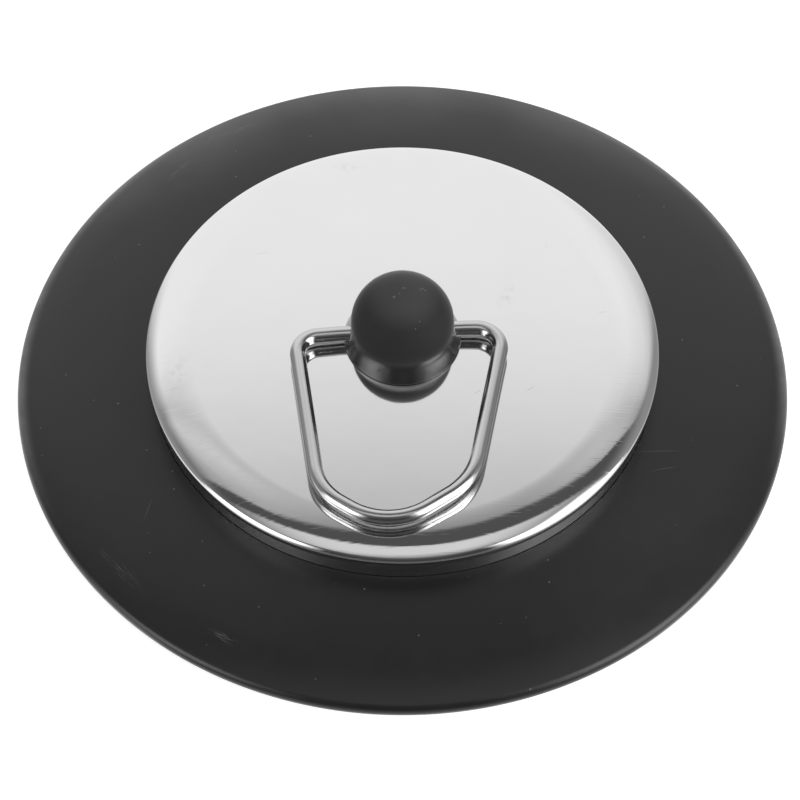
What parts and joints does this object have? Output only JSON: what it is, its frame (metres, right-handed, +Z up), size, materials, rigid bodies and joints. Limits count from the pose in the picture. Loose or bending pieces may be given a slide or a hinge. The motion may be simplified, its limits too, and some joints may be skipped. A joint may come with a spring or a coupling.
{
  "type": "drain stopper",
  "caption": "Flat drain stopper: a round rubber sealing flange under a polished domed metal cap, with a rubber knob at the centre and a wire bail that swings up to pull it out.",
  "frame": {"origin": "centre of the sealing plane, on the disc's axis", "axes": "+Z up along the disc's axis, X along the bail's pivot, and the bail lies towards -Y at rest"},
  "size_m": [0.1, 0.1, 0.0222],
  "materials": {
    "moulded_rubber": "matte moulded rubber with a faint bloom",
    "knob_rubber": "matte on the ball, semi-gloss on the lower band",
    "polished_sheet": "mirror polished with fine scratches",
    "bright_wire": "bright drawn wire",
    "core_brass": "turned",
    "fastener_steel": "plain bright steel"
  },
  "bodies": {
    "stopper": {"seal_disc": "moulded_rubber", "cap": "polished_sheet", "knob": "knob_rubber", "knob_core": "core_brass", "clamp_screw": "fastener_steel", "clamp_washer": "fastener_steel"},
    "bail": {"bail": "bright_wire"}
  },
  "joints": [
    {"name": "bail_swing", "type": "hinge", "parent": "stopper", "child": "bail", "pos_m": [0, 0, 0.01362], "axis": [-1, 0, 0], "range_deg": [-1.2, 181.2]}
  ]
}
